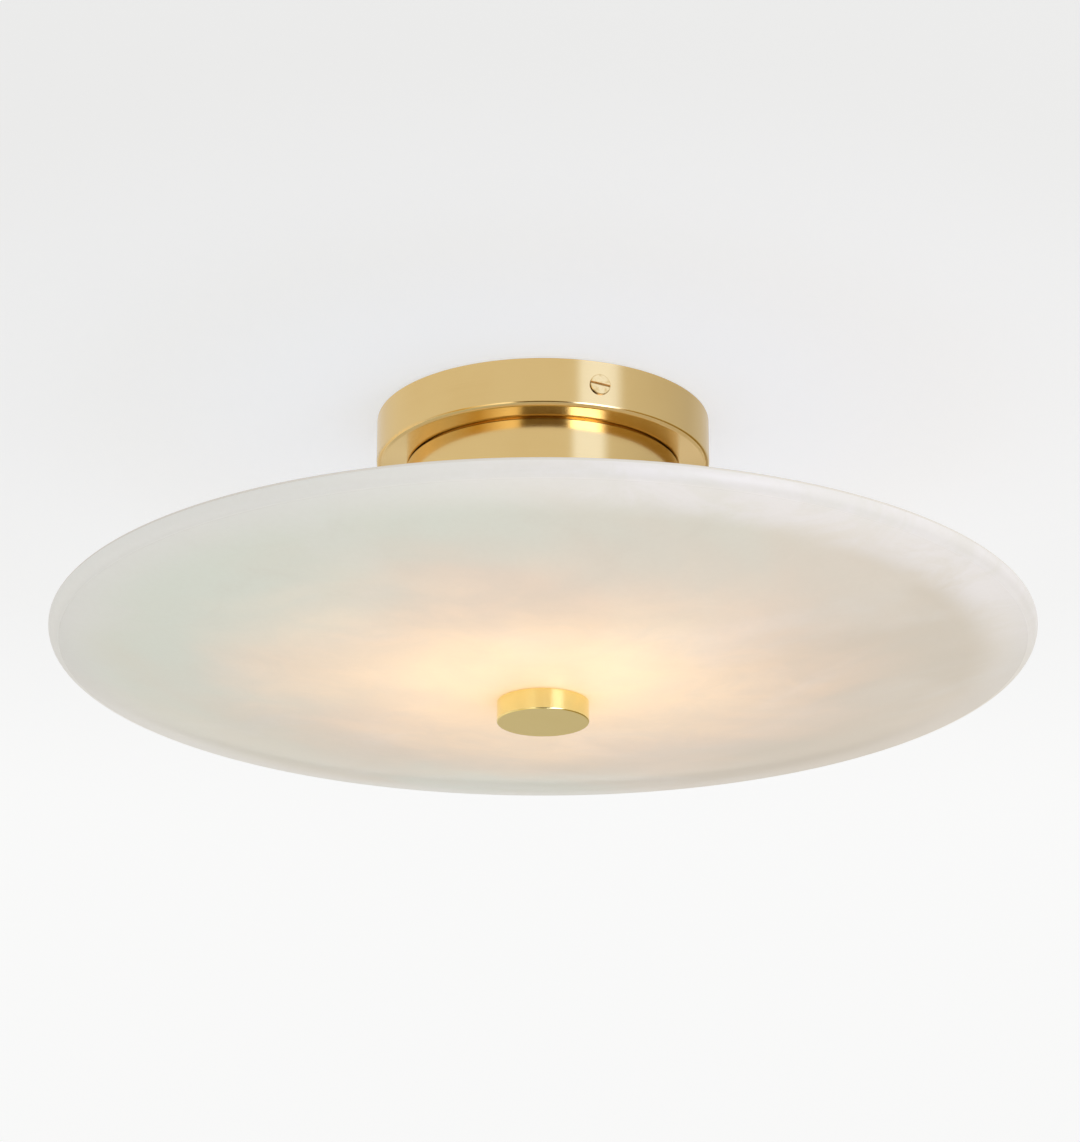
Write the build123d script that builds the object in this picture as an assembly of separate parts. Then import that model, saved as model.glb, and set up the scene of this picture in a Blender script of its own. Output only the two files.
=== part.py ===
from build123d import *
import os
from math import atan2, cos, radians, sin, sqrt

# Alabaster ceiling light: a stone dish on a threaded rod under a stepped brass housing.
# Millimetres. The origin is on the light's axis in the ceiling plane, +Z is up, and -Y faces the viewer.

# Canopy, the brass cup against the ceiling
canopy_diameter = 138.0
canopy_height = 20.0
canopy_wall = 1.5
canopy_floor = 2.0
canopy_edge_radius = 1.9

# Side screws of the canopy, slotted, three at equal angles; the first is the one that the viewer sees
side_screw_azimuth = -70.75
side_screw_count = 3
side_screw_diameter = 5.0
side_head_diameter = 8.5
side_head_height = 0.9
side_head_chamfer = 0.25
side_slot_width = 1.0
side_slot_depth = 0.5
side_slot_tilt = 6.0

# Ceiling bracket, pressed from steel sheet
bracket_sheet = 2.5
bracket_bend_radius = 1.2
bracket_margin = 9.0
arm_width = 14.0
tab_gap = 1.0
tab_margin = 5.5
cable_hole_diameter = 22.0
ceiling_screw_spacing = 70.0
ceiling_slot_length = 12.0
ceiling_slot_width = 5.5

# Earth connection on a lug of the bracket
earth_screw_diameter = 4.0
earth_head_diameter = 7.0
earth_head_height = 2.4
earth_ring_thickness = 0.8
earth_barrel_length = 6.0
earth_lug_offset = 8.0
earth_lug_setback = 30.0
earth_lug_width = 12.0

# Drum, the narrower cup that holds the light source
drum_diameter = 113.0
drum_wall = 2.0
drum_top = 2.0
drum_edge_radius = 0.6
shadow_gap = 0.6
shadow_gap_depth = 2.0
drum_edge_break = 0.4
drum_lip = 2.0

# Terminal block on the canopy floor
terminal_pole_pitch = 10.0
terminal_pole_count = 3
terminal_length = 17.0
terminal_headroom = 2.5
terminal_setback = 21.5
terminal_screw_diameter = 3.0
terminal_screw_pitch = 10.0

# Driver, hung under the drum's top
driver_height = 14.0
driver_lid_thickness = 2.0
driver_corner_radius = 2.5
driver_ear_length = 7.0
driver_ear_width = 9.0
driver_ear_thickness = 3.0
driver_ear_share = 0.45
driver_rod_gap = 4.0

# Standoffs and heat sink
standoff_count = 3
standoff_start = 60.0
standoff_across_flats = 8.0
standoff_wall_gap = 3.9
fin_height = 8.0
fin_thickness = 2.0
fins_per_sector = 7
fin_pitch_degrees = 14.0
fin_inner_radius = 20.0
heat_sink_plate = 4.0
heat_sink_wall_gap = 2.5
driver_to_fins = 3.0

# LED board
board_thickness = 1.6
board_hole_diameter = 14.0
chip_side = 3.0
chip_height = 0.8
inner_chip_count = 8
outer_chip_count = 16
chip_edge_margin = 5.0
chip_hole_margin = 10.0
board_screw_gap = 2.0
connector_length = 9.0
connector_width = 7.0
connector_height = 5.0
board_to_diffuser = 6.4

# Diffuser and the snap ring that holds it
diffuser_thickness = 2.0
snap_wire_diameter = 1.8
snap_opening_degrees = 14.0

# Hanging rod and its nuts
rod_diameter = 10.0
rod_stand = 2.0
rod_end_chamfer = 0.6
nut_wall = 2.0
nut_height = 4.0
washer_thickness = 1.0
washer_overhang = 1.0
jam_gap = 0.1

# Dish
dish_diameter = 400.0
dish_hang = 111.6
dish_centre_thickness = 10.0
dish_dome_rise = 20.4
rim_edge = 6.2
seat_margin = 4.0

# Seats of the dish
seat_washer_diameter = 56.0
seat_washer_thickness = 2.0
gasket_thickness = 2.0
lower_gasket_thickness = 1.5

# Finial
finial_diameter = 37.5
finial_height = 8.9
finial_base = 2.5
finial_edge_radius = 0.5
finial_neck_wall = 3.0
finial_gap = 0.3
finial_rim = 3.0

# Leads and the bushes they pass through
lead_diameter = 2.2
lead_gap = 0.6
lead_seat = 4.0
lead_straight = 1.5
passage_offset = 2.0
passage_inset = 6.2
grommet_wall = 1.5
grommet_flange = 1.0

# Small fasteners
m4_diameter = 4.0
m4_head_diameter = 8.0
m4_head_height = 3.0
m3_diameter = 3.0
m3_head_diameter = 5.5
m3_head_height = 1.8

# Small roundings, slots and chamfers, as shares of the size they are cut into
sheet_corner_share = 0.2
pan_round_share = 0.45
cross_width_share = 0.16
cross_length_share = 0.55
terminal_base_share = 0.3
terminal_pole_share = 0.3
terminal_slot_share = 0.25
terminal_fixing_share = 0.36
lid_chamfer_share = 0.4
fin_chamfer_share = 0.3
lens_share = 0.4
connector_chamfer_share = 0.15
diffuser_chamfer_share = 0.2
seat_round_share = 0.6
rim_low_share = 0.83
rim_top_share = 0.22

# Clearances
thread_clearance = 0.05
slip_clearance = 0.2
pass_clearance = 0.5
service_clearance = 3.0

# Levels, from the ceiling down
canopy_bottom = -canopy_height
canopy_inside = canopy_bottom + canopy_floor
drum_inside = canopy_bottom - drum_top
driver_lid_top = drum_inside - driver_height
driver_bottom = driver_lid_top - driver_lid_thickness
fin_top = driver_bottom - driver_to_fins
plate_top = fin_top - fin_height
plate_bottom = plate_top - heat_sink_plate
board_bottom = plate_bottom - board_thickness
diffuser_top = board_bottom - board_to_diffuser
diffuser_bottom = diffuser_top - diffuser_thickness
snap_level = diffuser_bottom - snap_wire_diameter / 2
drum_bottom = diffuser_bottom - snap_wire_diameter - drum_lip
dish_floor = -dish_hang
dish_bottom = dish_floor - dish_centre_thickness
finial_bottom = dish_bottom - finial_height
rim_low = dish_bottom + dish_dome_rise
rim_top = rim_low + rim_edge
side_screw_level = -canopy_height / 2
tab_drop = canopy_height / 2 + tab_margin
terminal_height = canopy_height - canopy_floor - bracket_sheet - terminal_headroom
wire_level = canopy_inside + terminal_height / 2 + lead_straight

# Radii and places that follow from the sizes above
canopy_radius = canopy_diameter / 2
tab_outer = canopy_radius - canopy_wall - tab_gap
bracket_radius = ceiling_screw_spacing / 2 + ceiling_slot_length / 2 + bracket_margin
drum_radius = drum_diameter / 2
drum_inner = drum_radius - drum_wall
rod_radius = rod_diameter / 2
nut_across_flats = rod_diameter + 2 * nut_wall
nut_corner = nut_across_flats / 2 / cos(radians(30))
standoff_corner = standoff_across_flats / 2 / cos(radians(30))
standoff_radius = drum_inner - standoff_corner - standoff_wall_gap
standoff_angles = [standoff_start + 360 * k / standoff_count for k in range(standoff_count)]
driver_half = standoff_radius * sin(radians(standoff_start)) - standoff_corner - service_clearance
driver_near = nut_corner + driver_rod_gap
driver_far = sqrt((drum_inner - service_clearance) ** 2 - driver_half**2)
driver_ear_side = driver_ear_share * driver_half
driver_ears = [(1, driver_far, driver_ear_side), (-1, driver_near, -driver_ear_side)]
heat_sink_radius = drum_inner - heat_sink_wall_gap
board_radius = standoff_radius - m4_head_diameter / 2 - board_screw_gap
inner_chip_ring = board_hole_diameter / 2 + chip_hole_margin
outer_chip_ring = board_radius - chip_edge_margin
board_screw_radius = (inner_chip_ring + outer_chip_ring) / 2
passage_side = driver_half - passage_inset
lead_pitch = lead_diameter + lead_gap
grommet_bore = lead_pitch + lead_diameter + lead_gap
grommet_outer = grommet_bore + 2 * grommet_wall
grommet_top = canopy_inside + grommet_flange
grommet_foot = drum_inside - grommet_flange
lead_bend = wire_level - grommet_top - lead_straight
mains_entry = grommet_foot - lead_straight - lead_bend
connector_level = board_bottom - connector_height / 2
connector_bend = connector_height / 2 - slip_clearance
connector_near = passage_offset - 2 * connector_bend
finial_neck_radius = rod_radius + finial_neck_wall
dish_hole_radius = finial_neck_radius + pass_clearance
outer_flat_radius = finial_diameter / 2 + seat_margin
inner_flat_radius = seat_washer_diameter / 2 + seat_margin
rod_top = canopy_inside + washer_thickness + nut_height + rod_stand
rod_foot = finial_bottom + finial_base + finial_gap

# The wiring and the light source are laid out in a frame turned to face the second side screw
SERVICE = Rot(0, 0, side_screw_azimuth + 360 / side_screw_count)


def turned(pieces):
    """Pieces of the wiring's frame, set into the frame of the light."""
    return [SERVICE * piece for piece in pieces]


def post(x, y, bottom, top, radius):
    """Upright cylinder between two levels."""
    return Pos(x, y, (bottom + top) / 2) * Cylinder(radius, top - bottom)


def block(x_range, y_range, z_range):
    """Box between its limits."""
    size = [high - low for low, high in (x_range, y_range, z_range)]
    middle = [(high + low) / 2 for low, high in (x_range, y_range, z_range)]
    return Pos(*middle) * Box(*size)


def ring(outer, inner, bottom, top):
    return post(0, 0, bottom, top, outer) - post(0, 0, bottom, top, inner)


def hexagon(across_flats, bottom, top):
    outline = RegularPolygon(across_flats / 2, 6, major_radius=False)
    return Pos(0, 0, bottom) * extrude(outline, top - bottom)


def around(count, radius, start=0.0):
    """Places at equal angles on a circle, each turned to face outwards."""
    return [Rot(0, 0, start + 360 * k / count) * Pos(radius, 0, 0) for k in range(count)]


def pan_screw(shank_diameter, head_diameter, head_height, length):
    """Pan-head screw with a cross slot, head above the level of its seat and shank below."""
    head = Pos(0, 0, head_height / 2) * Cylinder(head_diameter / 2, head_height)
    head = fillet(head.edges().sort_by(Axis.Z)[-1], pan_round_share * head_height)
    slot = Box(cross_length_share * head_diameter, cross_width_share * head_diameter, head_height)
    cross = Pos(0, 0, head_height) * (slot + Rot(0, 0, 90) * slot)
    return head - cross + post(0, 0, -length, 0, shank_diameter / 2)


def spun(outline):
    """Solid of revolution about the light's axis, from an outline drawn as radius and level."""
    return revolve(Plane.XZ * outline, Axis.Z)


def rounded(outline, corner, radius):
    """Outline with the corner nearest to a point rounded off."""
    return fillet(outline.vertices().sort_by_distance(Vector(*corner))[0], radius)


def lead(points, radii):
    """Insulated lead along straight runs joined by tangent arcs."""
    path = FilletPolyline(*points, radius=radii)
    start = Plane(points[0], z_dir=Vector(points[1]) - Vector(points[0]))
    return sweep(start * Circle(lead_diameter / 2), path=path)


def side_places(level):
    """Places of the canopy's side screws, with the local Z axis pointing outwards."""
    return [
        Rot(0, 0, side_screw_azimuth + 360 * k / side_screw_count) * Pos(0, 0, level) * Rot(0, 90, 0)
        for k in range(side_screw_count)
    ]


def side_hole(radius):
    """Holes across the wall of the canopy and the tabs behind it."""
    reach = canopy_wall + tab_gap + bracket_sheet + 2 * service_clearance
    hole = Pos(0, 0, canopy_radius - reach / 2 + service_clearance) * Cylinder(radius, reach)
    return [place * hole for place in side_places(side_screw_level)]


def standoff_places():
    return around(standoff_count, standoff_radius, standoff_start)


def drum_screw_holes(radius, bottom, top):
    return [place * post(0, 0, bottom, top, radius) for place in standoff_places()]


def canopy():
    outline = Polygon(
        (rod_radius + slip_clearance, canopy_bottom),
        (canopy_radius, canopy_bottom),
        (canopy_radius, 0),
        (canopy_radius - canopy_wall, 0),
        (canopy_radius - canopy_wall, canopy_inside),
        (rod_radius + slip_clearance, canopy_inside),
        align=None,
    )
    outline = rounded(outline, (canopy_radius, canopy_bottom), canopy_edge_radius)
    outline = rounded(outline, (canopy_radius - canopy_wall, canopy_inside), canopy_edge_radius / 3)
    cup = spun(outline)
    cup -= side_hole(side_screw_diameter / 2 + slip_clearance)
    cup -= turned(drum_screw_holes(m4_diameter / 2 + slip_clearance, canopy_bottom, canopy_inside))
    cup -= SERVICE * post(passage_offset, passage_side, canopy_bottom, canopy_inside, grommet_outer / 2)
    return cup - turned(terminal_fixings())


def side_screw():
    head = Pos(0, 0, side_head_height / 2) * Cylinder(side_head_diameter / 2, side_head_height)
    head = chamfer(head.edges().sort_by(Axis.Z)[-1], side_head_chamfer)
    slot = Box(side_slot_width, 2 * side_head_diameter, 2 * side_slot_depth)
    head -= Pos(0, 0, side_head_height) * Rot(0, 0, 90 - side_slot_tilt) * slot
    length = canopy_wall + tab_gap + bracket_sheet + service_clearance / 2
    return head + post(0, 0, -length, 0, side_screw_diameter / 2)


def canopy_screws():
    screw = Pos(0, 0, canopy_radius) * Rot(0, 0, 90) * side_screw()
    return Compound([place * screw for place in side_places(side_screw_level)])


def bent_arm(start, outer, drop, width):
    """Strip that runs out from a radius and bends down at its end."""
    strip = Polygon(
        (start, 0),
        (outer, 0),
        (outer, -drop),
        (outer - bracket_sheet, -drop),
        (outer - bracket_sheet, -bracket_sheet),
        (start, -bracket_sheet),
        align=None,
    )
    strip = rounded(strip, (outer, 0), bracket_bend_radius + bracket_sheet)
    strip = rounded(strip, (outer - bracket_sheet, -bracket_sheet), bracket_bend_radius)
    arm = extrude(Plane.XZ * strip, width / 2, both=True)
    foot_corners = arm.edges().filter_by(Axis.X).sort_by(Axis.Z)[:2]
    return fillet(foot_corners, sheet_corner_share * width)


def ceiling_bracket():
    plate = ring(bracket_radius, cable_hole_diameter / 2, -bracket_sheet, 0)
    arm = bent_arm(bracket_radius - bracket_margin, tab_outer, tab_drop, arm_width)
    for k in range(side_screw_count):
        plate += Rot(0, 0, side_screw_azimuth + 360 * k / side_screw_count) * arm
    slot = extrude(SlotOverall(ceiling_slot_length, ceiling_slot_width), -bracket_sheet)
    for side in (-1, 1):
        plate -= Pos(side * ceiling_screw_spacing / 2, 0, 0) * slot
    lug_run = tab_drop - bracket_sheet
    lug_x = (-earth_lug_offset - earth_lug_width / 2, -earth_lug_offset + earth_lug_width / 2)
    window = block(lug_x, (-earth_lug_setback, -earth_lug_setback + lug_run), (-bracket_sheet, 0))
    lug = block(lug_x, (-earth_lug_setback - bracket_sheet, -earth_lug_setback), (-tab_drop, 0))
    lug = fillet(lug.edges().filter_by(Axis.Y).sort_by(Axis.Z)[:2], sheet_corner_share * earth_lug_width)
    plate = plate - SERVICE * window + SERVICE * lug
    plate -= side_hole(side_screw_diameter / 2 + thread_clearance)
    plate -= SERVICE * earth_place() * post(
        0, 0, -2 * bracket_sheet, earth_ring_thickness, earth_screw_diameter / 2 + thread_clearance)
    return plate


def earth_place():
    """Place on the face of the earth lug, with the local Z axis pointing off it."""
    return Pos(-earth_lug_offset, -earth_lug_setback, wire_level) * Rot(-90, 0, 0)


def earth_screw():
    length = earth_ring_thickness + bracket_sheet + earth_ring_thickness
    screw = pan_screw(earth_screw_diameter, earth_head_diameter, earth_head_height, length)
    return SERVICE * earth_place() * Pos(0, 0, earth_ring_thickness) * screw


def earth_barrel_radius():
    return lead_diameter / 2 + earth_ring_thickness


def earth_barrel_start():
    return earth_head_diameter / 2 + earth_ring_thickness


def earth_ring():
    """Crimped ring terminal under the earth screw."""
    barrel_radius = earth_barrel_radius()
    start = earth_barrel_start()
    end = start + earth_barrel_length
    flat = post(0, 0, 0, earth_ring_thickness, earth_head_diameter / 2)
    tongue = start + earth_ring_thickness
    flat += block((0, tongue), (-barrel_radius, barrel_radius), (0, earth_ring_thickness))
    barrel = Pos((start + end) / 2, 0, barrel_radius) * Rot(0, 90, 0) * Cylinder(barrel_radius, end - start)
    bore = Pos((start + end) / 2 + earth_ring_thickness, 0, barrel_radius) * Rot(0, 90, 0) * Cylinder(
        lead_diameter / 2 + thread_clearance, end - start)
    piece = flat + barrel - bore
    piece -= post(0, 0, 0, earth_ring_thickness, earth_screw_diameter / 2 + slip_clearance)
    return SERVICE * earth_place() * piece


def terminal_poles():
    middle = (terminal_pole_count - 1) / 2
    return [(k - middle) * terminal_pole_pitch for k in range(terminal_pole_count)]


def terminal_fixings():
    """Holes of the screws that fix the terminal block, between its poles."""
    x = terminal_setback + terminal_length / 2
    top = canopy_inside + terminal_height
    radius = m3_diameter / 2 + thread_clearance
    sides = zip(terminal_poles(), terminal_poles()[1:])
    return [post(x, (a + b) / 2, canopy_bottom, top, radius) for a, b in sides]


def terminal_screw_places():
    x = terminal_setback + terminal_length / 2
    return [(x + side * terminal_screw_pitch / 2, y) for y in terminal_poles() for side in (-1, 1)]


def terminal_base_top():
    return canopy_inside + terminal_base_share * terminal_height


def terminal_block():
    """Three-pole strip: a low base with a raised, screw-holed housing for each pole."""
    top = canopy_inside + terminal_height
    far = terminal_setback + terminal_length
    half = terminal_pole_count * terminal_pole_pitch / 2
    strip = block((terminal_setback, far), (-half, half), (canopy_inside, terminal_base_top()))
    for y in terminal_poles():
        half_pole = terminal_pole_share * terminal_pole_pitch
        pole = block((terminal_setback, far), (y - half_pole, y + half_pole), (canopy_inside, top))
        strip += fillet(pole.edges().filter_by(Axis.Y).sort_by(Axis.Z)[-2:], lead_straight)
    strip -= terminal_fixings()
    wire_hole = Rot(0, 90, 0) * Cylinder(lead_diameter / 2 + slip_clearance, 2 * lead_seat)
    for y in terminal_poles():
        strip -= Pos(terminal_setback, y, wire_level) * wire_hole
        strip -= Pos(far, y, wire_level) * wire_hole
    for x, y in terminal_screw_places():
        strip -= post(x, y, wire_level, top, terminal_screw_diameter / 2 + slip_clearance)
    return SERVICE * strip


def terminal_screws():
    """Slotted screws that press on the leads from above."""
    bottom = wire_level + lead_diameter / 2 + thread_clearance
    top = canopy_inside + terminal_height - slip_clearance
    screw = post(0, 0, bottom, top, terminal_screw_diameter / 2)
    slot_depth = terminal_slot_share * (top - bottom)
    slot_width = terminal_slot_share * terminal_screw_diameter
    screw -= Pos(0, 0, top) * Box(2 * terminal_screw_diameter, slot_width, 2 * slot_depth)
    return SERVICE * Compound([Pos(x, y, 0) * screw for x, y in terminal_screw_places()])


def terminal_block_screws():
    x = terminal_setback + terminal_length / 2
    length = terminal_base_top() - canopy_bottom - thread_clearance
    screw = pan_screw(m3_diameter, terminal_fixing_share * terminal_pole_pitch, m3_head_height, length)
    sides = zip(terminal_poles(), terminal_poles()[1:])
    return SERVICE * Compound([Pos(x, (a + b) / 2, terminal_base_top()) * screw for a, b in sides])


def drum():
    top = canopy_bottom
    groove = snap_wire_diameter / 2 + thread_clearance
    outline = Polygon(
        (rod_radius + slip_clearance, top),
        (drum_radius - shadow_gap_depth, top),
        (drum_radius - shadow_gap_depth, top - shadow_gap),
        (drum_radius - drum_edge_break, top - shadow_gap),
        (drum_radius, top - shadow_gap - drum_edge_break),
        (drum_radius, drum_bottom),
        (drum_inner, drum_bottom),
        (drum_inner, snap_level - groove),
        (drum_inner + groove, snap_level - groove),
        (drum_inner + groove, snap_level + groove),
        (drum_inner, snap_level + groove),
        (drum_inner, drum_inside),
        (rod_radius + slip_clearance, drum_inside),
        align=None,
    )
    outline = rounded(outline, (drum_radius, drum_bottom), drum_edge_radius)
    cup = spun(outline)
    cup -= turned(drum_screw_holes(m4_diameter / 2 + slip_clearance, drum_inside, canopy_bottom))
    cup -= SERVICE * post(passage_offset, passage_side, drum_inside, canopy_bottom, grommet_outer / 2)
    for x, y in driver_screw_places():
        cup -= SERVICE * post(x, y, drum_inside, canopy_bottom, m3_diameter / 2 + thread_clearance)
    return cup


def drum_screws():
    length = canopy_floor + drum_top + service_clearance
    screw = Pos(0, 0, canopy_inside) * pan_screw(m4_diameter, m4_head_diameter, m4_head_height, length)
    return SERVICE * Compound([place * screw for place in standoff_places()])


def standoffs():
    spacer = hexagon(standoff_across_flats, plate_top, drum_inside)
    spacer -= post(0, 0, plate_top, drum_inside, m4_diameter / 2 + thread_clearance)
    return SERVICE * Compound([place * spacer for place in standoff_places()])


def driver_screw_places():
    return [(x + side * driver_ear_length / 2, y) for side, x, y in driver_ears]


def driver_case():
    case = block((driver_near, driver_far), (-driver_half, driver_half), (driver_lid_top, drum_inside))
    case = fillet(case.edges().filter_by(Axis.Z), driver_corner_radius)
    for (side, x, y), (screw_x, screw_y) in zip(driver_ears, driver_screw_places()):
        ear = block(sorted((x, x + side * driver_ear_length)),
                    (y - driver_ear_width / 2, y + driver_ear_width / 2),
                    (drum_inside - driver_ear_thickness, drum_inside))
        case += ear
        case -= post(screw_x, screw_y, drum_inside - driver_ear_thickness, drum_inside,
                     m3_diameter / 2 + slip_clearance)
    wire_hole = Rot(0, 90, 0) * Cylinder(lead_diameter / 2 + slip_clearance, 2 * lead_seat)
    for drop in (0, lead_pitch):
        case -= Pos(driver_near, passage_side, mains_entry - drop) * wire_hole
    for side in (-1, 1):
        case -= Pos(driver_near, -passage_side + side * lead_pitch / 2, mains_entry) * wire_hole
    return SERVICE * case


def driver_lid():
    lid = block((driver_near, driver_far), (-driver_half, driver_half), (driver_bottom, driver_lid_top))
    lid = fillet(lid.edges().filter_by(Axis.Z), driver_corner_radius)
    lid = chamfer(lid.faces().sort_by(Axis.Z)[0].edges(), lid_chamfer_share * driver_lid_thickness)
    return SERVICE * lid


def driver_screws():
    length = driver_ear_thickness + drum_top - thread_clearance
    screw = Rot(180, 0, 0) * pan_screw(m3_diameter, m3_head_diameter, m3_head_height, length)
    seat = drum_inside - driver_ear_thickness
    return SERVICE * Compound([Pos(x, y, seat) * screw for x, y in driver_screw_places()])


def heat_sink():
    """Round plate with radial fins on top, in sectors between the standoffs."""
    sink = ring(heat_sink_radius, rod_radius + pass_clearance, plate_bottom, plate_top)
    fin_outer = heat_sink_radius - fin_thickness
    fin = block((fin_inner_radius, fin_outer), (-fin_thickness / 2, fin_thickness / 2), (plate_top, fin_top))
    fin = chamfer(fin.edges().filter_by(Axis.X).sort_by(Axis.Z)[-2:], fin_chamfer_share * fin_thickness)
    first = -fin_pitch_degrees * (fins_per_sector - 1) / 2
    fins = [Rot(0, 0, angle - standoff_start + first + fin_pitch_degrees * k) * fin
            for angle in standoff_angles for k in range(fins_per_sector)]
    clearing = post(passage_offset, -passage_side, plate_top, fin_top, grommet_outer)
    for each in fins:
        sink += each - clearing
    sink -= drum_screw_holes(m4_diameter / 2 + slip_clearance, plate_bottom, plate_top)
    sink -= post(passage_offset, -passage_side, plate_bottom, plate_top, grommet_outer / 2)
    for place in board_screw_places():
        sink -= place * post(0, 0, plate_bottom, plate_top, m3_diameter / 2 + thread_clearance)
    return SERVICE * sink


def heat_sink_screws():
    length = heat_sink_plate + 2 * service_clearance
    screw = Rot(180, 0, 0) * pan_screw(m4_diameter, m4_head_diameter, m4_head_height, length)
    return SERVICE * Compound([Pos(0, 0, plate_bottom) * place * screw for place in standoff_places()])


def board_screw_places():
    return around(standoff_count, board_screw_radius, standoff_start)


def board_screws():
    length = board_thickness + heat_sink_plate - thread_clearance
    screw = Rot(180, 0, 0) * pan_screw(m3_diameter, m3_head_diameter, m3_head_height, length)
    return SERVICE * Compound([Pos(0, 0, board_bottom) * place * screw for place in board_screw_places()])


def led_board():
    board = ring(board_radius, board_hole_diameter / 2, board_bottom, plate_bottom)
    opening = grommet_outer / 2 + grommet_wall + slip_clearance
    board -= post(passage_offset, -passage_side, board_bottom, plate_bottom, opening)
    for place in board_screw_places():
        board -= place * post(0, 0, board_bottom, plate_bottom, m3_diameter / 2 + slip_clearance)
    return SERVICE * board


def led_chips():
    """Two rings of surface-mounted LEDs, leaving out those where the leads come through."""
    chip = Pos(0, 0, board_bottom - chip_height / 2) * Box(chip_side, chip_side, chip_height)
    lens = Pos(0, 0, board_bottom - chip_height) * Cylinder(lens_share * chip_side, chip_height / 2)
    chip += lens
    busy = Vector((passage_offset + connector_near - connector_length) / 2, -passage_side, 0)
    keep_clear = (passage_offset - connector_near + connector_length) / 2 + chip_side
    places = around(inner_chip_count, inner_chip_ring, standoff_start)
    places += around(outer_chip_count, outer_chip_ring, standoff_start)
    free = [place for place in places if (place.position - busy).length > keep_clear]
    return SERVICE * Compound([place * chip for place in free])


def led_connector():
    housing = block((connector_near - connector_length, connector_near),
                    (-passage_side - connector_width / 2, -passage_side + connector_width / 2),
                    (board_bottom - connector_height, board_bottom))
    lower_edges = housing.edges().filter_by(Axis.Y).sort_by(Axis.Z)[:2]
    housing = chamfer(lower_edges, connector_chamfer_share * connector_height)
    wire_hole = Rot(0, 90, 0) * Cylinder(lead_diameter / 2 + slip_clearance, lead_seat)
    for side in (-1, 1):
        housing -= Pos(connector_near, -passage_side + side * lead_pitch / 2, connector_level) * wire_hole
    return SERVICE * housing


def grommet(x, y, bottom, top):
    """Rubber bush with a flange on both sides of the sheet that it lines."""
    sleeve = post(x, y, bottom, top, grommet_outer / 2 - thread_clearance)
    for level in (bottom - grommet_flange, top):
        sleeve += post(x, y, level, level + grommet_flange, grommet_outer / 2 + grommet_wall)
    return SERVICE * (sleeve - post(x, y, bottom - grommet_flange, top + grommet_flange, grommet_bore / 2))


def canopy_grommet():
    return grommet(passage_offset, passage_side, drum_inside, canopy_inside)


def heat_sink_grommet():
    return grommet(passage_offset, -passage_side, plate_bottom, plate_top)


def mains_lead(side, pole, entry):
    """Lead from a pole of the terminal block down through the bush and into the driver."""
    x = passage_offset + side * lead_pitch / 2
    points = [
        (terminal_setback + lead_seat, pole, wire_level),
        (terminal_setback - 2 * lead_bend + lead_straight, pole, wire_level),
        (x, passage_side, wire_level),
        (x, passage_side, entry),
        (driver_near + lead_seat, passage_side, entry),
    ]
    return SERVICE * lead(points, [lead_bend] * 3)


def live_lead():
    return mains_lead(-1, terminal_poles()[1], mains_entry - lead_pitch)


def neutral_lead():
    return mains_lead(1, terminal_poles()[2], mains_entry)


def earth_lead():
    pole = terminal_poles()[0]
    turn = terminal_setback - 2 * lead_bend + lead_straight
    side = -earth_lug_setback + earth_barrel_radius()
    end = -earth_lug_offset + earth_barrel_start() + earth_ring_thickness + thread_clearance
    points = [
        (terminal_setback + lead_seat, pole, wire_level),
        (turn, pole, wire_level),
        (turn, side, wire_level),
        (end, side, wire_level),
    ]
    return SERVICE * lead(points, [lead_bend] * 2)


def led_leads():
    """Two leads from the driver down through the heat sink to the connector on the board."""
    leads = []
    for side in (-1, 1):
        y = -passage_side + side * lead_pitch / 2
        points = [
            (driver_near + lead_seat, y, mains_entry),
            (passage_offset, y, mains_entry),
            (passage_offset, y, connector_level),
            (connector_near - lead_seat / 2, y, connector_level),
        ]
        leads.append(lead(points, [lead_bend, connector_bend]))
    return SERVICE * Compound(leads)


def diffuser():
    disc = ring(drum_inner - slip_clearance, rod_radius + pass_clearance, diffuser_bottom, diffuser_top)
    rim = disc.edges().filter_by(GeomType.CIRCLE).sort_by(SortBy.LENGTH)[-2:]
    return chamfer(rim, diffuser_chamfer_share * diffuser_thickness)


def snap_ring():
    """Open ring of spring wire, half sunk in the drum's groove."""
    wire = Plane.XZ * Pos(drum_inner, snap_level) * Circle(snap_wire_diameter / 2)
    return Rot(0, 0, side_screw_azimuth) * revolve(wire, Axis.Z, 360 - snap_opening_degrees)


def hanging_rod():
    rod = post(0, 0, rod_foot, rod_top, rod_radius)
    return chamfer(rod.edges().filter_by(GeomType.CIRCLE), rod_end_chamfer)


def seat_washer_top():
    return dish_floor + gasket_thickness + seat_washer_thickness


def rod_nuts():
    """Four nuts: one over the canopy's floor, one under the drum's top and two locked over the dish."""
    stop = seat_washer_top()
    feet = [
        canopy_inside + washer_thickness,
        drum_inside - washer_thickness - nut_height,
        stop,
        stop + nut_height + jam_gap,
    ]
    nut = hexagon(nut_across_flats, 0, nut_height)
    bevel = 2 * nut_corner - nut_across_flats
    blank = chamfer(Cylinder(nut_corner, nut_height).edges().filter_by(GeomType.CIRCLE), bevel / 3, bevel / 2)
    nut = nut & Pos(0, 0, nut_height / 2) * blank
    nut -= post(0, 0, 0, nut_height, rod_radius + thread_clearance)
    return Compound([Pos(0, 0, foot) * nut for foot in feet])


def rod_washers():
    feet = [canopy_inside, drum_inside - washer_thickness]
    washer = ring(nut_corner + washer_overhang, rod_radius + slip_clearance, 0, washer_thickness)
    return Compound([Pos(0, 0, foot) * washer for foot in feet])


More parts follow.
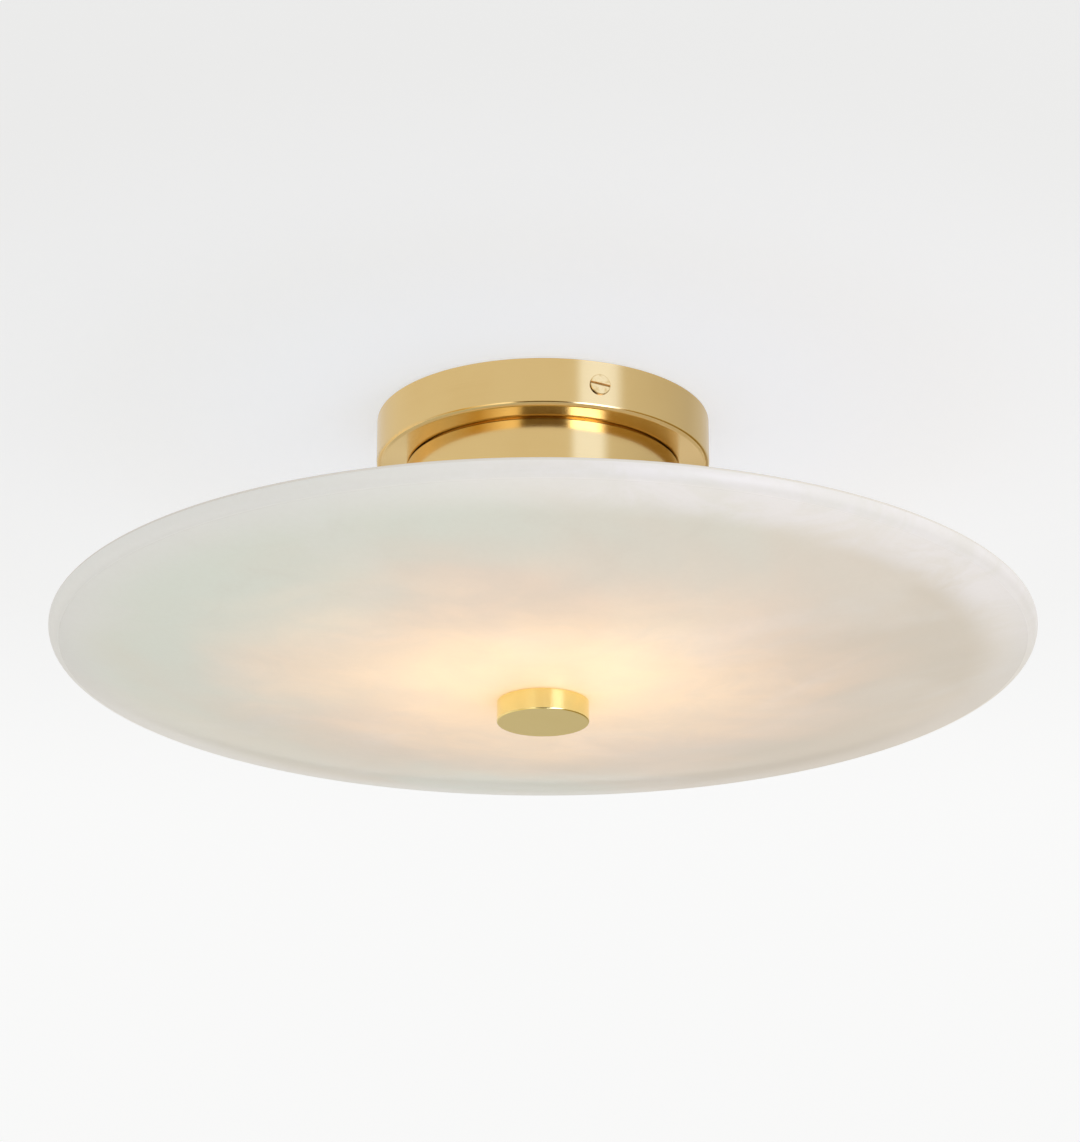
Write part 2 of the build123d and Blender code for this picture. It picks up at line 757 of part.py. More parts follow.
def seat_washer():
    """Flat brass washer over the dish, rounded at its upper edge."""
    bottom = dish_floor + gasket_thickness
    washer = ring(seat_washer_diameter / 2, rod_radius + slip_clearance, bottom, seat_washer_top())
    outer_edge = washer.edges().filter_by(GeomType.CIRCLE).group_by(SortBy.RADIUS)[-1].sort_by(Axis.Z)[-1]
    return fillet(outer_edge, seat_round_share * seat_washer_thickness)


def upper_gasket():
    outer = seat_washer_diameter / 2 - finial_gap
    return ring(outer, dish_hole_radius + pass_clearance, dish_floor, dish_floor + gasket_thickness)


def dome_arc(start, end):
    """Arc between two points of an outline, centred on the light's axis."""
    (r1, z1), (r2, z2) = start, end
    centre = (r2**2 - r1**2 + z2**2 - z1**2) / (2 * (z2 - z1))
    radius = sqrt(r1**2 + (centre - z1) ** 2)
    angle = (atan2(r1, centre - z1) + atan2(r2, centre - z2)) / 2
    return ThreePointArc(start, (radius * sin(angle), centre - radius * cos(angle)), end)


def dish():
    """Domed stone dish, thinner towards a rim that is rounded most on its underside, with flat seats."""
    radius = dish_diameter / 2
    lower = [(dish_hole_radius, dish_bottom), (outer_flat_radius, dish_bottom), (radius, rim_low)]
    upper = [(radius, rim_top), (inner_flat_radius, dish_floor), (dish_hole_radius, dish_floor)]
    outline = make_face([
        Line(lower[0], lower[1]),
        dome_arc(lower[1], lower[2]),
        Line(lower[2], upper[0]),
        dome_arc(upper[1], upper[0]),
        Line(upper[1], upper[2]),
        Line(upper[2], lower[0]),
    ])
    outline = rounded(outline, lower[2], rim_low_share * rim_edge)
    outline = rounded(outline, upper[0], rim_top_share * rim_edge)
    return spun(outline)


def lower_gasket():
    outer = finial_diameter / 2 - finial_rim - slip_clearance
    return ring(outer, dish_hole_radius + pass_clearance, dish_bottom - lower_gasket_thickness, dish_bottom)


def finial():
    """Flat cap with a threaded neck that rises into the dish's hole."""
    radius = finial_diameter / 2
    top = dish_bottom - finial_gap
    bore = rod_radius + thread_clearance
    neck_top = dish_floor - pass_clearance
    recess = dish_bottom - lower_gasket_thickness
    outline = Polygon(
        (0, finial_bottom),
        (radius, finial_bottom),
        (radius, top),
        (radius - finial_rim, top),
        (radius - finial_rim, recess),
        (finial_neck_radius, recess),
        (finial_neck_radius, neck_top),
        (bore, neck_top),
        (bore, finial_bottom + finial_base),
        (0, finial_bottom + finial_base),
        align=None,
    )
    outline = rounded(outline, (radius, finial_bottom), finial_edge_radius)
    outline = rounded(outline, (radius, top), finial_edge_radius / 2)
    return spun(outline)


NODES = [
    ceiling_bracket, earth_screw, earth_ring, terminal_block, terminal_screws, terminal_block_screws,
    canopy, canopy_screws, drum, drum_screws, canopy_grommet, live_lead, neutral_lead, earth_lead,
    standoffs, driver_case, driver_lid, driver_screws,
    heat_sink, heat_sink_screws, heat_sink_grommet,
    led_board, led_chips, led_connector, board_screws, led_leads, diffuser, snap_ring,
    hanging_rod, rod_nuts, rod_washers, seat_washer, upper_gasket, dish, lower_gasket, finial,
]

os.makedirs("parts", exist_ok=True)
for make in NODES:
    export_step(make(), f"parts/{make.__name__}.step")
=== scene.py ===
import math

import bpy
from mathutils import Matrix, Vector


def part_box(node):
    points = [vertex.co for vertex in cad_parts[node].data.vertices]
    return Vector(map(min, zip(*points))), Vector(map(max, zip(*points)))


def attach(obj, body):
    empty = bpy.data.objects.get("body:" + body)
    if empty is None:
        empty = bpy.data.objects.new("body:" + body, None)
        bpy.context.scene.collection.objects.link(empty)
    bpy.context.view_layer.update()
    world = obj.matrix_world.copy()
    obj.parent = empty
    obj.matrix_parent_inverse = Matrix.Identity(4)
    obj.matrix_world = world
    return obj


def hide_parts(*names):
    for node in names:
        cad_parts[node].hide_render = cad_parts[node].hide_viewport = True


# Looks of the alabaster ceiling light. Metres; the origin is in the ceiling plane, X right, Y away, Z up.
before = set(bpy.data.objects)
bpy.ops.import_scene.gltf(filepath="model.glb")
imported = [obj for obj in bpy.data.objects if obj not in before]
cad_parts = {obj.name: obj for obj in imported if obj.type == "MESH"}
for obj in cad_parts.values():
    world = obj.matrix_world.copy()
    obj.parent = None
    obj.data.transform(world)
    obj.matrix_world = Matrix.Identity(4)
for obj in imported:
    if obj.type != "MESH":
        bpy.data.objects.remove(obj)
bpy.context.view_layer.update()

# Camera, from a perspective fit of the light's edges in the photograph
PHOTO_HEIGHT_PIXELS = 1142
FOCAL_PIXELS = 3600
AXIS_SHIFT_PIXELS = 3
SENSOR_MM = 36.0
RIM_LEVEL = -0.0984
CAMERA_DISTANCE = 1.4671
CAMERA_ELEVATION = math.radians(19.09)
CAMERA_PITCH = math.radians(20.31)

# Ceiling: paint that is paler near the light and cooler close to it, painted light against the shadow and
# warm light of the dish there, and a glow that grows with Y
CEILING_SIZE = 16.0
CEILING_GAP = 0.0004
CEILING_ROUGHNESS = 0.9
CEILING_PAINT = (0.46, 0.46, 0.46)
CEILING_NEAR_PAINTED_LIGHT = (0.56, 0.575, 0.615)
CEILING_SHADED_PAINTED_LIGHT = (0.57, 0.62, 0.74)
CEILING_NEAR_RADII = (0.06, 0.34)
CEILING_SHADED_RADII = (0.07, 0.19)
CEILING_GLOW = (0.985, 0.995, 1.0)
CEILING_GLOW_Y = (-0.40, 0.60)
CEILING_GLOW_LEVELS = (0.39, 0.52)

# Room: light that is a little stronger from the right, and a pale backdrop for the eye
ROOM_TINT = (1.0, 0.99, 0.975)
ROOM_LEVEL = 0.93
ROOM_SLANT = 0.13
BACKDROP = (0.86, 0.86, 0.86)

# Lamps: name, place, size and power in watts
LAMP_TARGET = (0.0, 0.0, -0.08)
LAMPS = (
    ("key", (1.15, -1.10, -0.22), (0.6, 1.1), 6.0),
    ("fill", (-1.5, -1.0, -0.5), (1.2, 1.2), 1.5),
    ("top", (0.5, 0.6, 1.4), (1.2, 1.2), 1.5),
)

# Studio in the brass: azimuth in degrees from the camera's side and growing to the right, level and tint
STUDIO_PEAK = 5.0
STUDIO_HORIZON = (-0.12, 0.06)
CREAM = (1.0, 0.95, 0.88)
WARM = (1.0, 0.88, 0.72)
AMBER = (1.0, 0.68, 0.14)
DAYLIGHT = (0.90, 1.0, 1.36)
STUDIO_HIGH = (
    (-180, 0.72, CREAM), (-120, 0.82, CREAM), (22, 0.80, CREAM), (28, 1.24, DAYLIGHT), (49, 1.24, DAYLIGHT),
    (58, 0.73, CREAM), (120, 0.60, CREAM), (180, 0.72, CREAM),
)
STUDIO_LOW = (
    (-180, 0.57, WARM), (-115, 1.0, WARM), (-84, 0.74, CREAM), (-56, 0.66, AMBER), (-30, 1.42, CREAM),
    (-21, 1.42, CREAM), (-17, 0.13, AMBER), (20, 0.13, AMBER), (25, 4.60, DAYLIGHT), (45, 4.60, DAYLIGHT),
    (55, 0.42, AMBER), (90, 0.34, AMBER), (130, 0.30, AMBER), (180, 0.57, WARM),
)

# Dish outline
DISH_HOLE_RADIUS = 0.0085
DISH_SEAT_RADIUS = 0.02275
DISH_FLOOR_RADIUS = 0.032
DISH_FLOOR_LEVEL = -0.11162
RIM_EDGE = 0.0062
RIM_LOW_ROUNDING = 0.00515
RIM_TOP_ROUNDING = 0.00136
DISH_SEGMENTS = 288
DOME_STEPS = 44
CORNER_STEPS = 8
SHARP_ANGLE = math.radians(35)

# Tones of the stone, in sRGB levels
STONE_COOL = (238, 243, 233)
STONE_MIDDLE = (243, 234, 221)
STONE_WARM = (236, 227, 213)
STONE_VEIL = (247, 245, 241)
STONE_SMOKE = (227, 221, 209)
STONE_CENTRE = (243, 235, 219)
# Painted light of the rim
STONE_PALE_RIM_LIGHT = (249, 248, 246)
# White clouds, put as painted light where the key lamp falls
STONE_WHITE_CLOUD_LIGHT = (253, 250, 250)
STONE_GRAIN = (214, 206, 194)
# Painted shade of the inside's top edge
STONE_TOP_EDGE_SHADE = (212, 208, 201)
STONE_PLAIN = (238, 233, 222)
# Painted shade: the rim's plain tone is a darker copy of the plain stone
STONE_SHADED_PLAIN_RIM = (216, 212, 204)

# Where the tones change, by place or by noise, and how strong they are
COOL_TO_MIDDLE_X = (-0.18, 0.06)
MIDDLE_TO_WARM_X = (0.04, 0.18)
TONE_DRIFT = 0.12
VEIL_SPAN = (0.46, 0.70)
VEIL_SHARE = 0.45
SMOKE_SPAN = (0.52, 0.74)
SMOKE_SHARE = 0.20
CENTRE_RADII = (0.04, 0.12)
CENTRE_SHARE = 0.3
# Painted light: where the rim is paler, and less so at the far right
PALE_RADII = (0.170, 0.199)
PALE_FAR_RIGHT = (0.18, 0.28)
PALE_SHARES = (0.75, 0.25)
# White clouds: their pattern is the stone's own, their place at the front right of the rim is painted light
WHITE_RADII = (0.170, 0.188)
WHITE_FRONT = (0.15, 0.22)
WHITE_FRONT_SLANT = 0.8
WHITE_SPAN = (0.38, 0.62)
WHITE_SHARES = (0.2, 1.0)
GRAIN_SHARE = 0.04
TOP_EDGE_RADII = (0.1975, 0.1988)

# Stone as a shell: how opaque its outside is, and how far the inside and the rim are shaded to match it
STONE_ROUGHNESS = 0.42
STONE_OPACITY = 0.70
INSIDE_SHADE = 0.24
INSIDE_BACK_RADII = (0.150, 0.184)
INSIDE_BACK_Y = (0.03, 0.13)
RIM_RADII = (0.1960, 0.1988)
RIM_NEAR_Y = (0.06, -0.06)
RIM_SHADE_FAR = 0.18
RIM_SHADE_FOOT = 0.225
RIM_FRONT_X = (-0.17, 0.05)
RIM_FRONT_SHADES = (0.19, 0.315)

# Light in the stone: a glow under the lamp, a wide halo round it and a faint light along the edge
GLOW = {"full": 0.025, "end": 0.086, "ahead": -0.006, "scale": 20.0, "uneven": 0.008}
GLOW_TINTS = ((1.0, 0.46, 0.08), (1.0, 0.70, 0.27))
GLOW_LEVEL = 0.52
HALO = {"full": 0.055, "end": 0.154, "ahead": 0.005, "scale": 13.0, "uneven": 0.013}
HALO_TINTS = ((1.0, 0.30, 0.03), (1.0, 0.53, 0.15))
HALO_LEVEL = 0.285
HALO_SMUDGE = (0.84, 1.12)
EDGE_GLOW = (1.0, 0.95, 0.91)
EDGE_GLOW_LEVEL = 0.065
EDGE_GLOW_RADII = (0.170, 0.191)
EDGE_GLOW_X = (-0.11, 0.0)
EDGE_GLOW_Y = (0.0, 0.11)

# Light source: window above the foot of a chip, rings of the board, and the diffuser's glow by the radius
LED_WINDOW_HEIGHTS = (0.0005, 0.0003)
LED_LEVEL = 2.0
BOARD_RING_RADIANS = 900.0
DIFFUSER_RADII = (0.056, 0.020)
DIFFUSER_LEVELS = (0.3, 0.6)

# Browning and painted shade in the slot and round the foot of a side screw, as a distance from the canopy's
# side
SCREW_BROWNING_AND_SHADE = 0.00060
SCREW_BROWNING_AND_SHADE_EDGE = 0.00012

# Thread of the hanging rod
THREAD_PITCH = 0.001
THREAD_DEPTH = 0.0006
THREAD_SEGMENTS = 28
THREAD_STEPS = 5

# Shared by the materials: black, and the spans in which most of a noise and nearly all of it lie
BLACK = (0.0, 0.0, 0.0)
NOISE_SPAN = (0.3, 0.7)
WIDE_NOISE_SPAN = (0.25, 0.75)


def linear(red, green, blue):
    """Linear colour from sRGB levels of 0 to 255."""
    levels = [level / 255 for level in (red, green, blue)]
    return [v / 12.92 if v <= 0.04045 else ((v + 0.055) / 1.055) ** 2.4 for v in levels]


class Nodes:
    """Shader nodes of one node tree."""

    def __init__(self, tree):
        self.tree = tree

    def add(self, kind, **settings):
        node = self.tree.nodes.new("ShaderNode" + kind)
        for key, value in settings.items():
            setattr(node, key, value)
        return node

    def feed(self, socket, value):
        """A link from another node's output, or a plain number, vector or colour."""
        if isinstance(value, bpy.types.NodeSocket):
            self.tree.links.new(value, socket)
        elif value is not None:
            socket.default_value = (*value, 1) if socket.type == "RGBA" else value

    def math(self, operation, a, b=None):
        node = self.add("Math", operation=operation)
        self.feed(node.inputs[0], a)
        self.feed(node.inputs[1], b)
        return node.outputs[0]

    def product(self, a, b):
        return self.math("MULTIPLY", a, b)

    def axes(self, vector):
        node = self.add("SeparateXYZ")
        self.feed(node.inputs[0], vector)
        return node.outputs

    def range(self, value, low, high, to_low=0.0, to_high=1.0, smooth=True):
        node = self.add("MapRange", interpolation_type="SMOOTHSTEP" if smooth else "LINEAR")
        for name, number in zip(("Value", "From Min", "From Max", "To Min", "To Max"),
                                (value, low, high, to_low, to_high)):
            self.feed(node.inputs[name], number)
        return node.outputs["Result"]

    def between(self, share, first, last):
        """Number between two others, by a share of 0 to 1."""
        return self.range(share, 0.0, 1.0, first, last, smooth=False)

    def mix(self, factor, a, b, mode="MIX"):
        """Colour between a and b."""
        node = self.add("Mix", data_type="RGBA", blend_type=mode)
        self.feed(node.inputs["Factor"], factor)
        self.feed(node.inputs[6], a)
        self.feed(node.inputs[7], b)
        return node.outputs[2]

    def blend(self, factor, first, last):
        """Shader between two others."""
        node = self.add("MixShader")
        for socket, value in zip(node.inputs, (factor, first, last)):
            self.feed(socket, value)
        return node.outputs[0]


class Surface(Nodes):
    """Node material around one Principled shader, in the coordinates of its object."""

    def __init__(self, name, colour, roughness, metallic=0.0):
        self.material = bpy.data.materials.new(name)
        self.material.use_nodes = True
        super().__init__(self.material.node_tree)
        self.shader = self.tree.nodes["Principled BSDF"]
        self.set("Base Color", colour)
        self.set("Roughness", roughness)
        self.set("Metallic", metallic)
        self.place = self.add("TexCoord").outputs["Object"]

    def set(self, name, value):
        self.feed(self.shader.inputs[name], value)

    def vector(self, operation, place, change=None):
        node = self.add("VectorMath", operation=operation)
        self.feed(node.inputs[0], place)
        self.feed(node.inputs[1], change)
        return node.outputs

    def stretch(self, scale, place=None):
        """Coordinates scaled by a factor for each axis."""
        return self.vector("MULTIPLY", place or self.place, scale)[0]

    def shift(self, offset):
        return self.vector("ADD", self.place, offset)[0]

    def length(self, place):
        return self.vector("LENGTH", place)["Value"]

    def radius(self, place=None):
        """Distance of a place from the light's axis."""
        return self.length(self.stretch((1.0, 1.0, 0.0), place))

    def noise(self, scale, detail=2.0, roughness=0.5, distortion=0.0, place=None):
        node = self.add("TexNoise")
        self.feed(node.inputs["Vector"], place or self.place)
        self.feed(node.inputs["Scale"], scale)
        self.feed(node.inputs["Detail"], detail)
        self.feed(node.inputs["Roughness"], roughness)
        self.feed(node.inputs["Distortion"], distortion)
        return node.outputs["Fac"]

    def spread(self, noise, low, high):
        """Noise, most of which lies in NOISE_SPAN, spread between two numbers."""
        return self.range(noise, *NOISE_SPAN, low, high)

    def bump(self, height, depth, strength):
        node = self.add("Bump")
        self.feed(node.inputs["Height"], height)
        self.feed(node.inputs["Distance"], depth)
        self.feed(node.inputs["Strength"], strength)
        self.set("Normal", node.outputs["Normal"])


def clouded_stone(surface):
    """Base colour of the alabaster: cool to warm from left to right, cloudy, paler along the rim as painted
    light, and with white clouds whose place at the front right of the rim is painted light.
    """
    axes = surface.axes(surface.place)
    radius = surface.radius()
    tone = surface.noise(scale=6.0, detail=3.0, roughness=0.55, distortion=0.6)
    side = surface.math("ADD", axes["X"], surface.spread(tone, -TONE_DRIFT, TONE_DRIFT))
    base = surface.mix(surface.range(side, *COOL_TO_MIDDLE_X), linear(*STONE_COOL), linear(*STONE_MIDDLE))
    base = surface.mix(surface.range(side, *MIDDLE_TO_WARM_X), base, linear(*STONE_WARM))
    place = surface.shift((3.1, 0.7, 1.9))
    veil = surface.noise(scale=9.0, detail=4.0, roughness=0.55, distortion=1.2, place=place)
    base = surface.mix(surface.range(veil, *VEIL_SPAN, 0.0, VEIL_SHARE), base, linear(*STONE_VEIL))
    place = surface.shift((1.7, 2.3, 0.4))
    smoke = surface.noise(scale=11.0, detail=5.0, roughness=0.6, distortion=1.8, place=place)
    base = surface.mix(surface.range(smoke, *SMOKE_SPAN, 0.0, SMOKE_SHARE), base, linear(*STONE_SMOKE))
    base = surface.mix(surface.range(radius, *CENTRE_RADII, CENTRE_SHARE, 0.0), base, linear(*STONE_CENTRE))
    # Painted light: a paler rim, less so at the far right, brightens the edge where little light falls
    far_right = surface.range(surface.math("ADD", axes["X"], axes["Y"]), *PALE_FAR_RIGHT, *PALE_SHARES)
    pale = surface.product(surface.range(radius, *PALE_RADII), far_right)
    base = surface.mix(pale, base, linear(*STONE_PALE_RIM_LIGHT))
    place = surface.shift((0.4, 0.3, 0.0))
    cloud = surface.noise(scale=34.0, detail=5.0, roughness=0.6, distortion=0.9, place=place)
    # White clouds: the cloud noise is the stone's own, the front right mask, where the key lamp falls, is
    # painted light
    front = surface.math("SUBTRACT", surface.product(axes["X"], WHITE_FRONT_SLANT), axes["Y"])
    white_cloud_light = surface.range(cloud, *WHITE_SPAN, *WHITE_SHARES)
    white_cloud_light = surface.product(white_cloud_light, surface.range(front, *WHITE_FRONT))
    white_cloud_light = surface.product(white_cloud_light, surface.range(radius, *WHITE_RADII))
    base = surface.mix(white_cloud_light, base, linear(*STONE_WHITE_CLOUD_LIGHT))
    grain = surface.noise(scale=420.0)
    return surface.mix(surface.spread(grain, 0.0, GRAIN_SHARE), base, linear(*STONE_GRAIN))


def stone_finish(surface):
    """Honed and waxed finish with a slightly uneven gloss."""
    gloss = surface.noise(scale=25.0, detail=3.0)
    surface.set("Roughness", surface.spread(gloss, low=0.38, high=0.46))
    surface.set("Specular IOR Level", 0.40)


def lamp_glow(surface, full, end, ahead, scale, uneven):
    """Glow of 0 to 1 with a cloudy edge, round an axis that lies ahead of the light's own."""
    distance = surface.radius(surface.shift((0.0, ahead, 0.0)))
    cloud = surface.noise(scale=scale, detail=3.0, distortion=0.8)
    return surface.range(surface.math("ADD", distance, surface.spread(cloud, -uneven, uneven)), end, full)


def edge_glow(surface, level):
    """Faint light from inside the stone along its edge, except at the front left."""
    axes = surface.axes(surface.place)
    right = surface.range(axes["X"], *EDGE_GLOW_X)
    far = surface.range(axes["Y"], *EDGE_GLOW_Y)
    sides = surface.math("MAXIMUM", right, far)
    edge = surface.product(surface.range(surface.radius(), *EDGE_GLOW_RADII), sides)
    return surface.mix(surface.product(edge, level), BLACK, EDGE_GLOW)


def alabaster_rim():
    """Rounded edge of the dish: opaque, and shaded to look like the translucent stone beside it."""
    surface = Surface("alabaster_rim", linear(*STONE_SHADED_PLAIN_RIM), STONE_ROUGHNESS)
    axes = surface.axes(surface.place)
    upright = surface.range(surface.radius(), *RIM_RADII)
    near = surface.range(axes["Y"], *RIM_NEAR_Y)
    foot = surface.between(near, RIM_SHADE_FAR, RIM_SHADE_FOOT)
    front = surface.range(axes["X"], *RIM_FRONT_X, *RIM_FRONT_SHADES)
    shade = surface.between(surface.product(upright, near), foot, front)
    surface.set("Base Color", surface.mix(shade, clouded_stone(surface), BLACK))
    stone_finish(surface)
    surface.set("Emission Color", edge_glow(surface, EDGE_GLOW_LEVEL * STONE_OPACITY))
    surface.set("Emission Strength", 1.0)
    return surface.material


def alabaster_outside():
    """Translucent under side of the dish, with the wide halo of the lamp."""
    surface = Surface("alabaster_outside", linear(*STONE_PLAIN), STONE_ROUGHNESS)
    surface.set("Base Color", clouded_stone(surface))
    stone_finish(surface)
    surface.set("Alpha", STONE_OPACITY)
    halo = lamp_glow(surface, **HALO)
    smudge = surface.noise(scale=34.0, detail=4.0, roughness=0.6, distortion=1.0)
    level = surface.spread(smudge, *(share * HALO_LEVEL for share in HALO_SMUDGE))
    warm = surface.mix(surface.product(halo, level), BLACK, surface.mix(halo, *HALO_TINTS))
    surface.set("Emission Color", surface.mix(1.0, warm, edge_glow(surface, EDGE_GLOW_LEVEL), "ADD"))
    surface.set("Emission Strength", 1.0)
    return surface.material


def alabaster_inside():
    """Upper side of the dish, where the lamp's light enters the stone; its shade ends towards the far rim."""
    surface = Surface("alabaster_inside", linear(*STONE_PLAIN), STONE_ROUGHNESS)
    radius = surface.radius()
    away = surface.range(surface.axes(surface.place)["Y"], *INSIDE_BACK_Y)
    back = surface.product(surface.range(radius, *INSIDE_BACK_RADII), away)
    shaded = surface.mix(surface.between(back, INSIDE_SHADE, 0.0), clouded_stone(surface), BLACK)
    # Painted shade: the top edge's rounding is darkened against the light it catches
    top_edge_shade = surface.range(radius, *TOP_EDGE_RADII)
    surface.set("Base Color", surface.mix(top_edge_shade, shaded, linear(*STONE_TOP_EDGE_SHADE)))
    stone_finish(surface)
    glow = lamp_glow(surface, **GLOW)
    surface.set("Emission Color", surface.mix(glow, *GLOW_TINTS))
    surface.set("Emission Strength", surface.product(glow, GLOW_LEVEL))
    return surface.material


def turned_brass(name, colour, shade, roughness, anisotropy):
    """Polished brass with the faint lathe lines that run round the light's axis."""
    surface = Surface(name, colour, roughness, metallic=1.0)
    across = surface.add("CombineXYZ")
    surface.feed(across.inputs["X"], surface.radius())
    surface.feed(across.inputs["Y"], surface.axes(surface.place)["Z"])
    lines = surface.noise(scale=2600.0, detail=3.0, roughness=0.65, place=across.outputs[0])
    tone = surface.noise(scale=26.0, detail=4.0, roughness=0.55)
    patches = surface.range(tone, low=0.35, high=0.75)
    tarnish = surface.product(patches, surface.range(lines, *WIDE_NOISE_SPAN, to_low=0.1, to_high=0.5))
    surface.set("Base Color", surface.mix(tarnish, colour, shade))
    surface.set("Roughness", surface.range(lines, *WIDE_NOISE_SPAN, roughness * 0.8, roughness * 1.2))
    surface.set("Anisotropic", anisotropy)
    surface.set("Anisotropic Rotation", 0.25)
    surface.set("Tangent", surface.add("Tangent", direction_type="RADIAL", axis="Z").outputs[0])
    surface.bump(lines, depth=0.00001, strength=0.1)
    return surface.material


def screw_brass(name, foot):
    """Smooth brass that is browned and darkened with painted shade up to a distance from the light's axis."""
    surface = Surface(name, linear(228, 200, 140), roughness=0.18, metallic=1.0)
    scuffs = surface.noise(scale=500.0, detail=3.0, roughness=0.55)
    worn = surface.range(scuffs, low=0.4, high=0.8)
    clean = surface.mix(worn, linear(232, 205, 146), linear(214, 180, 114))
    # Browning and painted shade: the slot and the ring round the head's foot, near the canopy, are darkened
    # where their shadows fall
    browned_and_shaded = surface.range(surface.radius(), foot + SCREW_BROWNING_AND_SHADE_EDGE, foot)
    surface.set("Base Color", surface.mix(browned_and_shaded, clean, linear(140, 104, 54)))
    surface.set("Roughness", surface.spread(scuffs, low=0.14, high=0.22))
    return surface.material


def zinc_steel():
    """Plated steel with a faint blue and straw passivation and fine handling marks."""
    surface = Surface("zinc_steel", linear(196, 198, 202), roughness=0.34, metallic=1.0)
    tint = surface.range(surface.noise(scale=55.0, detail=3.0, distortion=0.8), low=0.35, high=0.65)
    colour = surface.mix(tint, linear(192, 198, 208), linear(206, 202, 190))
    marks = surface.noise(scale=1400.0, detail=4.0, roughness=0.7)
    scratched = surface.range(marks, low=0.5, high=0.8, to_high=0.3)
    surface.set("Base Color", surface.mix(scratched, colour, linear(160, 162, 166)))
    surface.set("Roughness", surface.spread(marks, low=0.26, high=0.44))
    surface.bump(marks, depth=0.00002, strength=0.3)
    return surface.material


def bare_aluminium():
    """Extruded aluminium with drawn lines along the fins."""
    surface = Surface("bare_aluminium", linear(206, 208, 211), roughness=0.38, metallic=1.0)
    drawn = surface.stretch((1.0, 1.0, 0.05))
    lines = surface.noise(scale=1800.0, detail=3.0, roughness=0.6, place=drawn)
    surface.set("Base Color", surface.mix(lines, linear(196, 198, 202), linear(216, 217, 219)))
    surface.set("Roughness", surface.spread(lines, low=0.30, high=0.48))
    surface.bump(lines, depth=0.00002, strength=0.4)
    return surface.material


def black_rubber():
    """Matt rubber with a fine grain and a grey bloom."""
    surface = Surface("black_rubber", linear(38, 38, 39), roughness=0.75)
    grain = surface.noise(scale=1500.0, detail=3.0, roughness=0.6)
    bloom = surface.range(surface.noise(scale=90.0, detail=3.0), low=0.45, high=0.8)
    surface.set("Base Color", surface.mix(bloom, linear(34, 34, 35), linear(60, 59, 57)))
    surface.set("Roughness", surface.spread(grain, low=0.65, high=0.85))
    surface.bump(grain, depth=0.00003, strength=0.5)
    return surface.material


def moulded(name, colour, shade, roughness):
    """Moulded plastic with a fine spark-eroded grain."""
    surface = Surface(name, colour, roughness)
    grain = surface.noise(scale=1900.0)
    cast = surface.range(surface.noise(scale=40.0, detail=3.0), low=0.35, high=0.7)
    surface.set("Base Color", surface.mix(cast, colour, shade))
    surface.set("Roughness", surface.spread(grain, roughness * 0.85, roughness * 1.15))
    surface.bump(grain, depth=0.00003, strength=0.35)
    return surface.material


def solder_mask():
    """White board with slightly raised conductor rings under its lacquer."""
    surface = Surface("solder_mask", linear(240, 240, 238), roughness=0.3)
    wave = surface.math("SINE", surface.product(surface.radius(), BOARD_RING_RADIANS))
    tracks = surface.range(wave, low=0.2, high=0.6)
    surface.set("Base Color", surface.mix(tracks, linear(242, 242, 240), linear(226, 226, 221)))
    gloss = surface.noise(scale=300.0, detail=3.0)
    surface.set("Roughness", surface.spread(gloss, low=0.22, high=0.36))
    surface.bump(tracks, depth=0.00004, strength=0.6)
    return surface.material


def led_phosphor():
    """White package with a warm phosphor window at its lowest face."""
    surface = Surface("led_phosphor", linear(244, 206, 98), roughness=0.35)
    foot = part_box("led_chips")[0].z
    level = surface.axes(surface.place)["Z"]
    window = surface.range(level, *(foot + height for height in LED_WINDOW_HEIGHTS))
    phosphor = surface.mix(surface.noise(scale=2600.0), linear(248, 214, 110), linear(236, 190, 80))
    surface.set("Base Color", surface.mix(window, linear(243, 242, 238), phosphor))
    surface.set("Emission Color", linear(255, 214, 150))
    surface.set("Emission Strength", surface.product(window, LED_LEVEL))
    return surface.material


def opal_acrylic():
    """Milky sheet, lit from behind and most strongly in the middle."""
    surface = Surface("opal_acrylic", linear(246, 243, 236), roughness=0.35)
    haze = surface.noise(scale=140.0, detail=3.0)
    surface.set("Base Color", surface.mix(haze, linear(248, 246, 240), linear(240, 236, 227)))
    surface.set("Emission Color", linear(255, 226, 176))
    surface.set("Emission Strength", surface.range(surface.radius(), *DIFFUSER_RADII, *DIFFUSER_LEVELS))
    surface.bump(surface.noise(scale=500.0), depth=0.00002, strength=0.3)
    return surface.material


def lead_finish(surface):
    """Uneven gloss of drawn insulation; gives the noise behind it."""
    drawn = surface.noise(scale=700.0, detail=3.0)
    surface.set("Roughness", surface.spread(drawn, low=0.26, high=0.40))
    return drawn


def insulation(name, colour, shade):
    """Smooth insulation of one colour."""
    surface = Surface(name, colour, roughness=0.32)
    drawn = lead_finish(surface)
    surface.set("Base Color", surface.mix(drawn, colour, shade))
    surface.bump(drawn, depth=0.00002, strength=0.3)
    return surface.material


def earth_insulation():
    """Green insulation with yellow stripes along its upper and lower sides."""
    surface = Surface("earth_insulation", linear(40, 130, 60), roughness=0.32)
    up = surface.axes(surface.add("TexCoord").outputs["Normal"])["Z"]
    stripe = surface.range(surface.math("ABSOLUTE", up), low=0.52, high=0.56)
    surface.set("Base Color", surface.mix(stripe, linear(38, 128, 62), linear(238, 206, 46)))
    lead_finish(surface)
    return surface.material


